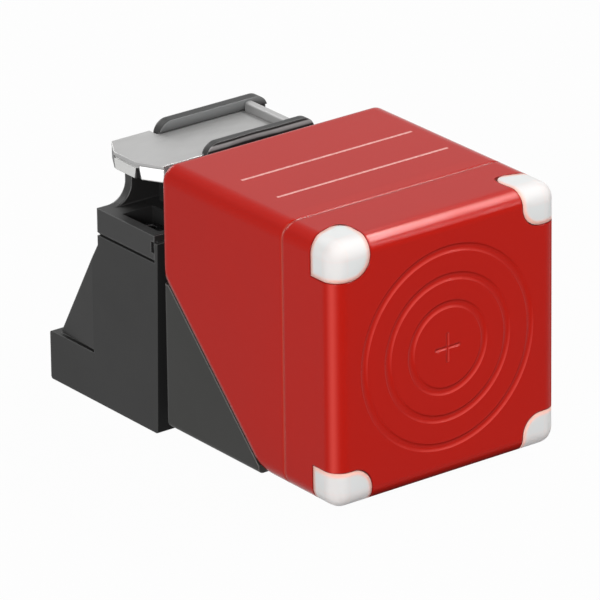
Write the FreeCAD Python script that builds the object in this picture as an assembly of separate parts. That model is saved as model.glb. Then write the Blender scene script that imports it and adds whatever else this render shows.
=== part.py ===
import FreeCAD, Part
import math
import os

from FreeCAD import Vector

# Inductive proximity sensor: a red turret head on a dark base wedge, whose neck turns in the
# socket of a black bracket and is held there by a steel locking slide.
#
# Everything is drawn with x across, y back from the sensing face and z up from the sensor's
# underside, in millimetres. The last step moves it so that the foot stands on z = 0.

# Overall sizes
cube = 40.0
foot_reach = 12.6
foot_drop = 2.0

# Head shell and its 45 degree seam with the base
edge_round = 2.5
rear_round = 0.8
head_wall = 2.2
split_gap = 0.4
split_wall = 3.0
split_land = 0.7
split_round_low = 9.0
split_round_rear = 5.0

# Sensing cap
cap_depth = 11.7
cap_front = 2.0
cap_seam = 0.2
spigot_length = 1.5
spigot_play = 0.05
ring_radii = (6.5, 10.6, 14.8)
ring_width = 1.2
ring_depth = 0.16
cross_arm = 2.2
cross_width = 0.5
cross_depth = 0.15

# Corner lenses
lens_across = 6.5
lens_across_rear = 7.1
lens_tall = 5.75
lens_side = 5.25
lens_inner = 7.6
lens_round = 3.2
lens_corner = 2.2
guide_radius = 1.5
guide_inset = 5.0
guide_play = 0.05

# Coil and ferrite core
core_radius = 15.0
core_height = 6.8
core_back = 2.0
core_post = 6.3
core_rim = 2.3
bobbin_play = 0.1
bobbin_wall = 0.6
winding_step = 0.4
holder_wall = 1.5
holder_base = 1.4
holder_play = 0.05
holder_post = 1.4
holder_eye = 4.0

# Oscillator board
board_edge_gap = 1.8
board_thickness = 1.6
board_play = 0.05
lamp_side = 1.8
lamp_height = 0.8
lamp_play = 0.15
chip_height = 1.6
large_chip = 7.0
small_chip = 5.0
socket_width = 8.0
socket_height = 6.0
socket_depth = 3.0
socket_play = 0.25

# Turret swivel
spindle_radius = 7.0
spindle_bore = 4.6
spindle_lip = 0.8
running_play = 0.05
washer_thickness = 0.5
washer_width = 2.6
circlip_thickness = 1.0
circlip_width = 2.4
circlip_bite = 0.8
circlip_gap = 4.0
seal_radius = 9.6
seal_cord = 0.95
seal_stand = 0.25

# Base wedge and neck
base_wall = 2.2
base_round = 0.8
tip_blunt = 1.2
neck_radius = 11.0
neck_bore = 8.2
neck_length = 17.0
grip_place = 7.8
grip_cord = 0.8
grip_stand = 0.03
cable_radius = 1.2
cable_bend = 6.0
cable_clear = 0.6

# Plug connector
thread_radius = 6.0
thread_length = 10.0
shell_bore = 4.6
shell_flange = 2.5
shell_play = 0.05
carrier_stand = 2.0
carrier_tail = 1.0
pin_radius = 0.5
pin_circle = 2.75
pin_stand = 8.0
pin_tail = 0.5
pin_play = 0.03
pin_count = 4
key_width = 1.0
key_height = 0.7
terminal_thickness = 1.2
terminal_gap = 0.9

# Bracket
bracket_gap = 1.2
bracket_depth = 14.7
gusset_wall = 3.0
front_wall = 4.0
front_lean = 0.8
foot_height = 7.6
foot_thickness = 5.0
foot_ledge = 1.9
slope_top = 23.0
seam_rise = 4.5
lip_thickness = 0.8
lip_rise = 3.1
socket_wall = 2.5
rib_width = 4.0
flank_relief = 0.8
flank_groove = 0.5
flank_relief_start = 11.0
screw_spacing = 24.0
screw_hole = 2.75
screw_from_rear = 7.5
bracket_round = 0.4

# Latch housing
shelf_height = 4.2
housing_play = 0.05
seam_chamfer = 0.5
rear_wall = 1.55
tower_left = 14.9
tower_right = 8.35
tower_fillet = 3.2
roof_left = 14.2
roof_room = 3.5
roof_thickness = 1.5
roof_overhang = 2.05
rail_left = 8.3
rail_right = 11.2
rail_height = 2.75
rail_round = 2.2
front_rail = 1.2
front_rail_inner = 5.0
rear_rail = 1.6
rail_bite = 0.4
web_place = 9.5
web_thickness = 1.5
turning_play = 0.3
pocket_depth = 3.2
pocket_rim = 0.9
pocket_side = 1.6
pocket_width = 5.2
pocket_behind = 0.4
catch_width = 0.8
catch_height = 1.7
catch_depth = 0.6

# Housing screws
fixing_inset = 4.2
fixing_radius = 1.25
fixing_length = 9.0
fixing_head = 2.2
fixing_head_height = 1.3
fixing_boss = 2.9
fixing_play = 0.05

# Locking slide
sheet = 1.0
slide_play = 0.05
guide_gap = 0.1
slide_travel = 7.0
strip_end = 8.35
stop_gap = 0.2
flare_overhang = 0.6
flare_tip = 17.45
flare_shoulder = 15.3
flare_slope = 3.6
flare_cheek = 3.9
tab_height = 2.7
tab_slit = 0.35
end_thickness = 1.3
end_height = 1.4
end_round = 0.5
blade_left = 5.5
blade_step = 2.0
blade_bite = 1.1
blade_clear = 0.4
groove_depth = 1.5
groove_play = 0.3

# Places worked out from the sizes above
half = cube / 2
past = 1.0
root_two = math.sqrt(2)
head_side = cap_depth + split_land + split_round_low * math.tan(math.pi / 8)
split_offset = head_side + split_gap / root_two
base_side = split_offset + split_gap / root_two
base_inner_side = base_side + root_two * split_wall
centre = Vector(0, half, half)
turn_axis = Vector(0, -1 / root_two, 1 / root_two)
split_u = -split_offset / root_two
head_face_u = split_u + split_gap / 2
base_face_u = split_u - split_gap / 2
washer_u = head_face_u + split_wall + running_play
circlip_u = washer_u + washer_thickness + running_play
spindle_top_u = circlip_u + circlip_thickness + running_play + spindle_lip

core_y = cap_front + holder_play
core_end = core_y + core_height
holder_end = core_end + holder_base
holder_radius = core_radius + holder_play + holder_wall
pocket_radius = holder_radius + holder_play
board_side = cube - 2 * head_wall - 2 * board_edge_gap
board_y = cap_depth + spigot_length + board_play
board_end = board_y + board_thickness
guide_end = board_y - lamp_height - lamp_play
guide_x = half - guide_inset

bracket_front = cube + bracket_gap
bracket_rear = bracket_front + bracket_depth
overall_length = bracket_rear + foot_reach
floor_z = -foot_drop
foot_top = floor_z + foot_height
seam_z = half + seam_rise
shelf_top = seam_z + shelf_height
housing_front = bracket_front + lip_thickness + housing_play
tower_rear = bracket_rear - rear_wall
neck_top = half + neck_radius
neck_end = cube + neck_length
roof_bottom = neck_top + roof_room
roof_top = roof_bottom + roof_thickness
roof_rear = bracket_rear + roof_overhang
rail_top = roof_top + rail_height
rail_inner = bracket_front + front_rail_inner
rear_rail_inner = roof_rear - rear_rail
plate_bottom = roof_top + slide_play
plate_top = plate_bottom + sheet
blade_end = tower_rear - guide_gap
blade_y = blade_end - sheet
socket_bore = neck_radius + running_play
terminal_y = base_inner_side + half + neck_bore + terminal_gap
thread_end = neck_end + thread_length
fixing_x = half - fixing_inset
fixing_y = (housing_front + bracket_rear) / 2
fixing_seat = shelf_top - pocket_depth


def slab(x0, x1, y0, y1, z0, z1):
    """A box between two corners."""
    return Part.makeBox(x1 - x0, y1 - y0, z1 - z0, Vector(x0, y0, z0))


def rod(radius, start, end):
    """A round bar between two points."""
    run = end - start
    return Part.makeCylinder(radius, run.Length, start, run)


def ring(outer, inner, start, end):
    """A round tube between two points."""
    return rod(outer, start, end).cut(rod(inner, start, end))


def back(y, x=0.0, z=half):
    """A point on the neck's axis, or beside it."""
    return Vector(x, y, z)


def along(u):
    """A point on the turret's axis, u from the cube's centre towards its top front edge."""
    return centre + turn_axis * u


def side_prism(outline, width):
    """A side view of (y, z) points drawn across the middle of the part."""
    points = [Vector(-width / 2, y, z) for y, z in outline]
    face = Part.Face(Part.makePolygon(points + points[:1]))
    return face.extrude(Vector(width, 0, 0))


def plan_prism(outline, z0, z1):
    """A plan view of (x, y) points raised from z0 to z1."""
    points = [Vector(x, y, z0) for x, y in outline]
    face = Part.Face(Part.makePolygon(points + points[:1]))
    return face.extrude(Vector(0, 0, z1 - z0))


def front_prism(outline, y0, y1):
    """A front view of (x, z) points drawn back from y0 to y1."""
    points = [Vector(x, y0, z) for x, z in outline]
    face = Part.Face(Part.makePolygon(points + points[:1]))
    return face.extrude(Vector(0, y1 - y0, 0))


def both_sides(shape):
    """The shape and its mirror image across the middle plane."""
    return [shape, shape.mirror(Vector(0, 0, 0), Vector(1, 0, 0))]


def tidy(shape):
    """Joins faces that booleans have left in several pieces."""
    return shape.removeSplitter()


def wedge_space():
    """The room of the base wedge, with the head's two seam corners rounded."""
    low = head_side - split_round_low * math.tan(math.pi / 8)
    rear = cube - head_side + split_round_rear * math.tan(math.pi / 8)

    def on_arc(y, z, radius, degrees):
        turn = math.radians(degrees)
        return Vector(-cube, y + radius * math.cos(turn), z + radius * math.sin(turn))

    low_arc = [on_arc(low, split_round_low, split_round_low, a) for a in (-90, -67.5, -45)]
    rear_centre = cube - split_round_rear
    rear_arc = [on_arc(rear_centre, rear, split_round_rear, a) for a in (-45, -22.5, 0)]
    outside = [
        rear_arc[2],
        Vector(-cube, cube + past, rear),
        Vector(-cube, cube + past, -past),
        Vector(-cube, low, -past),
        low_arc[0],
    ]
    edges = [
        Part.Arc(*low_arc).toShape(),
        Part.makeLine(low_arc[2], rear_arc[0]),
        Part.Arc(*rear_arc).toShape(),
    ]
    edges += [Part.makeLine(a, b) for a, b in zip(outside, outside[1:])]
    return Part.Face(Part.Wire(edges)).extrude(Vector(2 * cube, 0, 0))


def head_outline():
    """The whole red head as one block: a rounded cube less the base wedge."""
    block = slab(-half, half, 0, cube, 0, cube)
    front_and_long = [edge for edge in block.Edges if edge.BoundBox.YMin < half]
    block = block.makeFillet(edge_round, front_and_long)
    rear = [edge for edge in block.Edges if edge.BoundBox.YMin > half]
    return block.makeFillet(rear_round, rear).cut(wedge_space())


def lens_space():
    """The corner that the upper right lens fills, larger than the head outside."""
    lean = (lens_across_rear - lens_across) / lens_inner
    inner_front = half - lens_across + lean * past
    inner_rear = half - lens_across_rear
    slope = (lens_inner - lens_side) / lens_across_rear
    outline = [
        (half + past, -past),
        (inner_front, -past),
        (inner_rear, lens_inner),
        (half + past, lens_side - slope * past),
    ]
    low = cube - lens_tall
    plan = plan_prism(outline, low, cube + past)
    inner = [edge for edge in plan.Edges if edge.BoundBox.YMin > lens_side and edge.BoundBox.XMax < half]
    corner = [edge for edge in inner if edge.BoundBox.ZLength > past]
    plan = plan.makeFillet(lens_corner, corner)

    reach = lens_inner + 2 * past
    outer = half + past + lean * reach
    section = [(inner_front, low), (outer, low), (outer, cube + past), (inner_front, cube + past)]
    points = [Vector(x, -past, z) for x, z in section]
    bar = Part.Face(Part.makePolygon(points + points[:1])).extrude(Vector(-lean * reach, reach, 0))
    lower = [edge for edge in bar.Edges if edge.BoundBox.ZMax < cube and edge.BoundBox.YLength > past]
    bar = bar.makeFillet(lens_round, [edge for edge in lower if edge.BoundBox.XMax < half])
    return plan.common(bar)


def four_corners(shape):
    """The shape at the upper right, upper left, lower right and lower left corners."""
    upper = both_sides(shape)
    return upper + [one.mirror(centre, Vector(0, 0, 1)) for one in upper]


def light_guide(radius, end):
    """A bar from inside the upper right lens back to the given depth."""
    height = half + guide_x
    return rod(radius, back(lens_side / 2, guide_x, height), back(end, guide_x, height))


def corner_lenses():
    """Translucent corner lenses, each with a light guide that reaches its lamp."""
    spaces = four_corners(lens_space())
    guides = four_corners(light_guide(guide_radius, guide_end))
    outline = head_outline()
    return [tidy(outline.common(room).fuse(guide)) for room, guide in zip(spaces, guides)]


def sensing_cap():
    """Front cup of the head, with target rings, lens corners and a round pocket for the coil."""
    cap = head_outline().common(slab(-cube, cube, -past, cap_depth, -past, cube + past))
    rim = [edge for edge in cap.Edges if edge.BoundBox.YMin > cap_depth - cap_seam]
    cap = cap.makeChamfer(cap_seam, rim)
    reach = half - head_wall - spigot_play
    spigot_end = cap_depth + spigot_length
    cap = cap.fuse(slab(-reach, reach, cap_depth - past, spigot_end, half - reach, half + reach))
    cuts = [rod(pocket_radius, back(cap_front), back(spigot_end + past))]
    groove = ((ring_width / 2) ** 2 + ring_depth**2) / (2 * ring_depth)
    for radius in ring_radii:
        cuts.append(Part.makeTorus(radius, groove, back(ring_depth - groove), Vector(0, 1, 0)))
    stroke = ((cross_width / 2) ** 2 + cross_depth**2) / (2 * cross_depth)
    stroke_y = cross_depth - stroke
    cuts.append(rod(stroke, back(stroke_y, -cross_arm), back(stroke_y, cross_arm)))
    cuts.append(rod(stroke, back(stroke_y, 0, half - cross_arm), back(stroke_y, 0, half + cross_arm)))
    cuts += four_corners(lens_space())
    cuts += four_corners(light_guide(guide_radius + guide_play, spigot_end + past))
    return tidy(cap.cut(cuts))


def head_shell():
    """Rear box of the head, open to the cap, with the bored seam wall that turns on the spindle."""
    shell = head_outline().common(slab(-cube, cube, cap_depth, cube + past, -past, cube + past))
    inner_side = head_side - root_two * split_wall
    inside = cube - head_wall
    cavity = [
        (cap_depth - past, head_wall),
        (inner_side + head_wall, head_wall),
        (inside, inside - inner_side),
        (inside, inside),
        (cap_depth - past, inside),
    ]
    shell = shell.cut(side_prism(cavity, cube - 2 * head_wall))
    bore = rod(spindle_radius + running_play, along(base_face_u), along(washer_u + past))
    return tidy(shell.cut(bore))


def ferrite_core():
    """Pot core with its winding space open towards the sensing face."""
    core = rod(core_radius, back(core_y), back(core_end))
    space = ring(core_radius - core_rim, core_post, back(core_y), back(core_end - core_back))
    return core.cut(space)


def bobbin_span():
    """Where the bobbin starts and ends, its inner radius and its flange radius."""
    inner = core_post + bobbin_play
    outer = core_radius - core_rim - bobbin_play
    return core_y, core_end - core_back - bobbin_play, inner, outer


def coil_bobbin():
    """Plastic spool that carries the winding."""
    start, end, inner, outer = bobbin_span()
    spool = ring(outer, inner, back(start), back(end))
    waist = ring(outer, inner + bobbin_wall, back(start + bobbin_wall), back(end - bobbin_wall))
    return spool.cut(waist)


def sensing_coil():
    """Copper winding on the bobbin."""
    start, end, inner, outer = bobbin_span()
    return ring(
        outer - winding_step, inner + bobbin_wall, back(start + bobbin_wall), back(end - bobbin_wall)
    )


def core_holder():
    """Cup that centres the core in the cap, with four posts up to the board."""
    cup = rod(holder_radius, back(core_y), back(holder_end))
    cup = cup.cut(rod(core_radius + holder_play, back(core_y), back(core_end)))
    cup = cup.cut(rod(holder_eye, back(core_end), back(holder_end)))
    reach = core_radius - holder_post
    for x, z in ((reach, 0), (-reach, 0), (0, reach), (0, -reach)):
        post = rod(holder_post, back(core_end, x, half + z), back(board_y, x, half + z))
        cup = cup.fuse(post)
    return tidy(cup)


def oscillator_board():
    """Circuit board that lies against the cap's spigot."""
    reach = board_side / 2
    return slab(-reach, reach, board_y, board_end, half - reach, half + reach)


def indicator_lamps():
    """Four lamps on the board's front, one behind each light guide."""
    low = guide_x - lamp_side / 2
    high = guide_x + lamp_side / 2
    lamp = slab(low, high, board_y - lamp_height, board_y, half + low, half + high)
    return Part.makeCompound(four_corners(lamp))


def board_chips():
    """Chips on the board's back, clear of the cable socket and the spindle."""
    beside = board_side / 3
    above = board_side / 4
    below = -board_side / 12
    chips = []
    for x, z, side in (
        (-beside, above, large_chip),
        (beside, above, small_chip),
        (-beside, below, small_chip),
        (beside, below, large_chip),
    ):
        reach = side / 2
        low = half + z - reach
        chips.append(slab(x - reach, x + reach, board_end, board_end + chip_height, low, low + side))
    return Part.makeCompound(chips)


def cable_socket():
    """Socket on the board's back, on the turret's axis, that takes the cable."""
    reach = socket_width / 2
    axis_height = cube - board_end
    low = axis_height - socket_height / 2
    return slab(-reach, reach, board_end, board_end + socket_depth, low, low + socket_height)


def base_housing():
    """Base wedge in one piece with the hollow spindle and the neck that the bracket holds."""
    block = slab(-half, half, 0, cube, 0, cube)
    block = block.makeFillet(base_round, block.Edges)
    tip = cube - base_side - tip_blunt
    wedge = [
        (base_side + tip_blunt, -past),
        (cube + past, -past),
        (cube + past, tip),
        (cube - tip_blunt, tip),
        (base_side + tip_blunt, tip_blunt),
    ]
    body = block.common(side_prism(wedge, 2 * cube))

    far = neck_end + past
    below_seam = [(base_side, 0), (far, 0), (far, far - base_side)]
    neck = rod(neck_radius, back(cube - base_wall), back(neck_end))
    body = body.fuse(neck.common(side_prism(below_seam, cube)))
    body = body.fuse(rod(spindle_radius, along(base_face_u - split_wall), along(spindle_top_u)))

    inside = cube - base_wall
    cavity_front = base_inner_side + base_wall
    cavity = [(cavity_front, base_wall), (inside, base_wall), (inside, inside - base_inner_side)]
    under_wall = [(base_inner_side, 0), (far, 0), (far, far - base_inner_side)]
    bore = rod(neck_bore, back(inside - past), back(far)).common(side_prism(under_wall, cube))
    floor_u = circlip_u - running_play
    ceiling_u = circlip_u + circlip_thickness + running_play
    seal_side = seal_cord + running_play
    seal_floor = base_face_u + seal_stand - 2 * seal_cord - running_play
    grip_y = bracket_front + grip_place
    grip_side = grip_cord + running_play
    grip_floor = neck_radius + grip_stand - 2 * grip_cord - running_play
    latch_floor = neck_radius - groove_depth
    cuts = [
        side_prism(cavity, cube - 2 * base_wall),
        bore,
        rod(spindle_bore, along(base_face_u - split_wall - past), along(spindle_top_u + past)),
        ring(spindle_radius + past, spindle_radius - circlip_bite, along(floor_u), along(ceiling_u)),
        ring(seal_radius + seal_side, seal_radius - seal_side, along(seal_floor), along(split_u)),
        ring(neck_radius + past, grip_floor, back(grip_y - grip_side), back(grip_y + grip_side)),
        ring(neck_radius + past, latch_floor, back(blade_y - groove_play), back(blade_end + groove_play)),
    ]
    return tidy(body.cut(cuts))


def swivel_seal():
    """Sealing ring in the base's seam face, around the spindle."""
    return Part.makeTorus(seal_radius, seal_cord, along(base_face_u + seal_stand - seal_cord), turn_axis)


def thrust_washer():
    """Washer between the head's seam wall and the circlip."""
    inner = spindle_radius + running_play
    return ring(inner + washer_width, inner, along(washer_u), along(washer_u + washer_thickness))


def spindle_circlip():
    """Open spring ring in the spindle's groove, which keeps the head on."""
    inner = spindle_radius - circlip_bite + running_play
    clip = ring(inner + circlip_width, inner, along(circlip_u), along(circlip_u + circlip_thickness))
    opening = slab(-circlip_gap / 2, circlip_gap / 2, half, cube, half, cube)
    return clip.cut(opening.translated(turn_axis * circlip_u))


def bend(corner, before, after, radius):
    """Start, middle and end of a round bend between two directions that leave a corner."""
    half_turn = (math.pi - before.getAngle(after)) / 2
    tangent = radius * math.tan(half_turn)
    inward = (before + after).normalize()
    middle = corner + inward * radius * (1 / math.cos(half_turn) - 1)
    return corner + before * tangent, middle, corner + after * tangent


def link_cable():
    """Cable along the turret's axis, then behind the seam wall into the neck's terminal board."""
    socket_face = board_end + socket_depth
    start = along((half - socket_face - socket_play) * root_two - cable_radius)
    corner = along(base_face_u - split_wall - cable_clear - cable_radius)
    beside_wall = Vector(0, 1 / root_two, 1 / root_two)
    knee = corner + beside_wall * (half - corner.z) * root_two
    low = bend(corner, turn_axis, beside_wall, cable_bend)
    high = bend(knee, beside_wall * -1, Vector(0, 1, 0), cable_bend)
    path = Part.Wire(
        [
            Part.makeLine(start, low[0]),
            Part.Arc(*low).toShape(),
            Part.makeLine(low[2], high[0]),
            Part.Arc(*high).toShape(),
            Part.makeLine(high[2], back(terminal_y - pin_play)),
        ]
    )
    section = Part.Wire([Part.makeCircle(cable_radius, start, turn_axis)])
    return path.makePipeShell([section], True, False)


def neck_grip_ring():
    """Rubber ring in the neck, which holds the sensor at its angle by friction."""
    radius = neck_radius + grip_stand - grip_cord
    return Part.makeTorus(radius, grip_cord, back(bracket_front + grip_place), Vector(0, 1, 0))


def pin_places():
    """The contact pins' places around the neck's axis."""
    turns = [math.tau * (index + 0.5) / pin_count for index in range(pin_count)]
    return [(pin_circle * math.cos(turn), half + pin_circle * math.sin(turn)) for turn in turns]


def terminal_board():
    """Round board on the tails of the contact pins."""
    board = rod(neck_bore - pin_play, back(terminal_y), back(terminal_y + terminal_thickness))
    end = terminal_y + terminal_thickness
    holes = [rod(pin_radius + pin_play, back(terminal_y, x, z), back(end, x, z)) for x, z in pin_places()]
    return board.cut(holes)


def connector_shell():
    """Threaded sleeve of the plug connector, with a flange in the neck's end and an inner key."""
    flange = rod(neck_bore - shell_play, back(neck_end - shell_flange), back(neck_end))
    shell = flange.fuse(rod(thread_radius, back(neck_end), back(thread_end)))
    shell = shell.cut(rod(shell_bore, back(neck_end - shell_flange), back(thread_end)))
    key = slab(
        -key_width / 2, key_width / 2, neck_end + carrier_stand + shell_play, thread_end - past,
        half + shell_bore - key_height, half + (shell_bore + thread_radius) / 2,
    )
    return tidy(shell.fuse(key))


def contact_carrier():
    """Plastic insert that holds the contact pins."""
    start = neck_end - shell_flange - carrier_tail
    end = neck_end + carrier_stand
    carrier = rod(shell_bore - shell_play, back(start), back(end))
    holes = [rod(pin_radius + pin_play, back(start, x, z), back(end, x, z)) for x, z in pin_places()]
    return carrier.cut(holes)


def contact_pins():
    """Contact pins, from the terminal board to the plug's mouth."""
    start = terminal_y - pin_tail
    end = neck_end + pin_stand
    pins = [rod(pin_radius, back(start, x, z), back(end, x, z)) for x, z in pin_places()]
    return Part.makeCompound(pins)


def turning_room():
    """The room that the head's rear corners sweep as it turns, with a clearance."""
    blunt = rear_round * (1 - 1 / root_two)
    reach = half - blunt
    start_u = split_u - turning_play
    stations = (start_u, start_u / 2, 0.0)
    outline = [along(start_u)]
    outward = Vector(0, 1 / root_two, 1 / root_two)
    for u in stations:
        radius = math.hypot(reach, root_two * reach + u) + turning_play
        outline.append(along(u) + outward * radius)
    outline.append(along(0.0))
    face = Part.Face(Part.makePolygon(outline + outline[:1]))
    return face.revolve(centre, turn_axis, 360)


def fixing_bosses():
    """Bosses between the front wall and the gussets, which take the housing screws."""
    low = seam_z - fixing_length - past
    boss = rod(fixing_boss, back(fixing_y, fixing_x, low), back(fixing_y, fixing_x, seam_z))
    inner = fixing_x - fixing_boss
    wall = bracket_front + front_wall - past
    web = slab(inner, half - gusset_wall + past, wall, fixing_y, low, seam_z)
    return both_sides(tidy(boss.fuse(web)))


def bracket_foot():
    """Bracket body: front wall with the socket, two gussets and the foot with its screw holes."""
    outline = [
        (bracket_front + front_lean, floor_z),
        (overall_length, floor_z),
        (overall_length, foot_top),
        (overall_length - foot_ledge, foot_top),
        (bracket_rear, slope_top),
        (bracket_rear, seam_z),
        (bracket_front + lip_thickness, seam_z),
        (bracket_front + lip_thickness, seam_z + lip_rise),
        (bracket_front, seam_z + lip_rise),
    ]
    body = side_prism(outline, cube)
    across = [edge for edge in body.Edges if edge.BoundBox.XLength > half]
    corners = [edge for edge in across if edge.BoundBox.ZMax < foot_top + past]
    body = body.makeFillet(bracket_round, corners)
    inner = half - gusset_wall
    deck = floor_z + foot_thickness
    body = body.cut(slab(-inner, inner, bracket_front + front_wall, overall_length + past, deck, cube))
    below_seam = slab(-cube, cube, 0, overall_length, floor_z, seam_z)
    socket = rod(socket_bore + socket_wall, back(bracket_front), back(bracket_rear))
    rib = slab(-rib_width / 2, rib_width / 2, bracket_front, bracket_rear, deck - past, half)
    body = body.fuse([socket.common(below_seam), rib] + fixing_bosses())

    hole_y = overall_length - screw_from_rear
    relief_y = overall_length - flank_relief_start
    relief_outline = [(half, relief_y), (half + past, relief_y), (half + past, overall_length + past)]
    relief_outline.append((half - flank_relief, overall_length + past))
    relief = plan_prism(relief_outline, foot_top, seam_z)
    shadow_line = slab(
        half - flank_relief, half + past, relief_y, overall_length, foot_top, foot_top + flank_groove
    )
    screw_x = screw_spacing / 2
    cuts = [rod(socket_bore, back(bracket_front - past), back(bracket_rear + past)), turning_room()]
    cuts += both_sides(relief) + both_sides(shadow_line)
    screw = rod(screw_hole, back(hole_y, screw_x, floor_z - past), back(hole_y, screw_x, deck + past))
    cuts += both_sides(screw)
    thread = fixing_radius + fixing_play
    deep = seam_z - fixing_length
    cuts += both_sides(rod(thread, back(fixing_y, fixing_x, deep), back(fixing_y, fixing_x, seam_z + past)))
    return tidy(body.cut(cuts))


def guide_rail(y0, y1):
    """Guide rail for the slide, its ends rounded at the top."""
    rail = slab(-rail_left, rail_right, y0, y1, roof_bottom, rail_top)
    upper = [edge for edge in rail.Edges if edge.BoundBox.ZMin > roof_top]
    ends = [edge for edge in upper if edge.BoundBox.XLength < rail_left]
    return rail.makeFillet(rail_round, ends)


def tower_waist(place):
    """The room beside the tower wall's right edge, with a round at its foot."""
    beyond = place + tower_fillet + past
    room = slab(place, beyond, tower_rear - past, bracket_rear + past, shelf_top, roof_top + past)
    inner = [edge for edge in room.Edges if edge.BoundBox.XMax < beyond]
    return room.makeFillet(tower_fillet, [edge for edge in inner if edge.BoundBox.ZMax < roof_top])


def latch_housing():
    """Shelf, tower wall, roof and rails that guide the slide above the neck."""
    shelf = slab(-half, half, housing_front, bracket_rear, seam_z, shelf_top)
    lower = [edge for edge in shelf.Edges if edge.BoundBox.YLength > past and edge.BoundBox.ZMax < shelf_top]
    body = shelf.makeChamfer(seam_chamfer, lower)
    left = tower_left + tower_fillet
    right = tower_right + tower_fillet
    tower = slab(-left, right, tower_rear, bracket_rear, shelf_top - past, roof_top)
    tower = tower.cut([both_sides(tower_waist(tower_left))[1], tower_waist(tower_right)])
    roof_front = rail_inner - front_rail
    roof = slab(-roof_left, tower_right, roof_front, roof_rear, roof_bottom, roof_top)
    web_rear = blade_y - groove_play
    webs = [
        slab(outer - web_thickness, outer, roof_front, web_rear, shelf_top - past, roof_bottom)
        for outer in (-web_place, tower_right)
    ]
    rails = [guide_rail(roof_front, rail_inner), guide_rail(rear_rail_inner, roof_rear)]
    body = body.fuse([tower, roof] + webs + rails)

    slot_low = plate_top + guide_gap
    slot_front = rail_inner - rail_bite - guide_gap
    slot_rear = rear_rail_inner + rail_bite + guide_gap
    pocket_outer = half - pocket_side
    pocket = slab(
        pocket_outer - pocket_width, pocket_outer,
        housing_front + pocket_rim, fixing_y + fixing_head + pocket_behind,
        fixing_seat, shelf_top + past,
    )
    catch = slab(
        half - catch_depth, half + past, housing_front - past, housing_front + catch_width,
        shelf_top - past - catch_height, shelf_top - past,
    )
    hole = fixing_radius + fixing_play
    cuts = [
        rod(socket_bore, back(bracket_front - past), back(bracket_rear + past)),
        slab(-half, half, slot_front, slot_rear, roof_top, slot_low),
        slab(
            -blade_left - slide_travel - guide_gap, strip_end + guide_gap, blade_y - guide_gap, tower_rear,
            roof_bottom - past, roof_top,
        ),
        turning_room(),
    ]
    cuts += both_sides(pocket) + both_sides(catch)
    screw = rod(hole, back(fixing_y, fixing_x, seam_z - past), back(fixing_y, fixing_x, shelf_top))
    cuts += both_sides(screw)
    return tidy(body.cut(cuts))


def housing_screws():
    """Two screws through the shelf into the gusset bosses."""
    tip = seam_z - fixing_length + past
    shank = rod(fixing_radius, back(fixing_y, fixing_x, tip), back(fixing_y, fixing_x, fixing_seat))
    head_end = fixing_seat + fixing_head_height
    head = rod(fixing_head, back(fixing_y, fixing_x, fixing_seat), back(fixing_y, fixing_x, head_end))
    return Part.makeCompound(both_sides(tidy(shank.fuse(head))))


def lock_slide():
    """Steel slide: a strip between the rails, a flared end with bent-down tabs, and a turned-up end."""
    strip_front = rail_inner - rail_bite
    strip_rear = rear_rail_inner + rail_bite
    shoulder = -rail_left - stop_gap
    flare_rear = roof_rear + flare_overhang
    rear_corner = (-flare_shoulder, flare_rear)
    rear_bend = (-flare_tip, flare_rear - flare_slope)
    front_bend = (-flare_tip, strip_front + flare_cheek)
    front_corner = (-flare_shoulder, strip_front)
    inner_end = [(shoulder, strip_front), (shoulder, flare_rear)]
    flare = inner_end + [rear_corner, rear_bend, front_bend, front_corner]
    plate = plan_prism(flare, plate_bottom, plate_top)
    plate = plate.fuse(slab(shoulder - past, strip_end, strip_front, strip_rear, plate_bottom, plate_top))

    def tab(start, end, gap):
        edge = Vector(end[0] - start[0], end[1] - start[1], 0).normalize()
        inward = Vector(-edge.y, edge.x, 0) * sheet
        begin = (start[0] + edge.x * gap, start[1] + edge.y * gap)
        inner = [(x + inward.x, y + inward.y) for x, y in (end, begin)]
        return plan_prism([begin, end] + inner, plate_top - tab_height, plate_top)

    rear_tabs = [tab(rear_corner, rear_bend, 0), tab(rear_bend, front_bend, 0)]
    front_tab = tab(front_bend, front_corner, tab_slit)
    end_x = strip_end - end_thickness
    end_front = rail_inner + guide_gap
    end_rear = rear_rail_inner - guide_gap
    turned = slab(end_x, strip_end, end_front, end_rear, plate_bottom, plate_top + end_height)
    outer = [edge for edge in turned.Edges if edge.BoundBox.XMin > end_x]
    turned = turned.makeFillet(end_round, [edge for edge in outer if edge.BoundBox.YLength > past])
    return tidy(plate.fuse(rear_tabs + [front_tab, turned]))


def latch_blade():
    """Blade under the slide: its deep end locks the neck's groove, its short end lets the neck out."""
    lock_z = neck_top - blade_bite
    free_z = neck_top + blade_clear
    outline = [
        (-blade_left, plate_bottom),
        (-blade_left, lock_z),
        (blade_step, lock_z),
        (blade_step, free_z),
        (strip_end, free_z),
        (strip_end, plate_bottom),
    ]
    return front_prism(outline, blade_y, blade_end)


lens_names = ("lens_upper_right", "lens_upper_left", "lens_lower_right", "lens_lower_left")
parts = dict(zip(lens_names, corner_lenses()))
parts["sensing_cap"] = sensing_cap()
parts["head_shell"] = head_shell()
parts["ferrite_core"] = ferrite_core()
parts["coil_bobbin"] = coil_bobbin()
parts["sensing_coil"] = sensing_coil()
parts["core_holder"] = core_holder()
parts["oscillator_board"] = oscillator_board()
parts["indicator_lamps"] = indicator_lamps()
parts["board_chips"] = board_chips()
parts["cable_socket"] = cable_socket()
parts["base_housing"] = base_housing()
parts["swivel_seal"] = swivel_seal()
parts["thrust_washer"] = thrust_washer()
parts["spindle_circlip"] = spindle_circlip()
parts["link_cable"] = link_cable()
parts["neck_grip_ring"] = neck_grip_ring()
parts["terminal_board"] = terminal_board()
parts["connector_shell"] = connector_shell()
parts["contact_carrier"] = contact_carrier()
parts["contact_pins"] = contact_pins()
parts["bracket_foot"] = bracket_foot()
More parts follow.
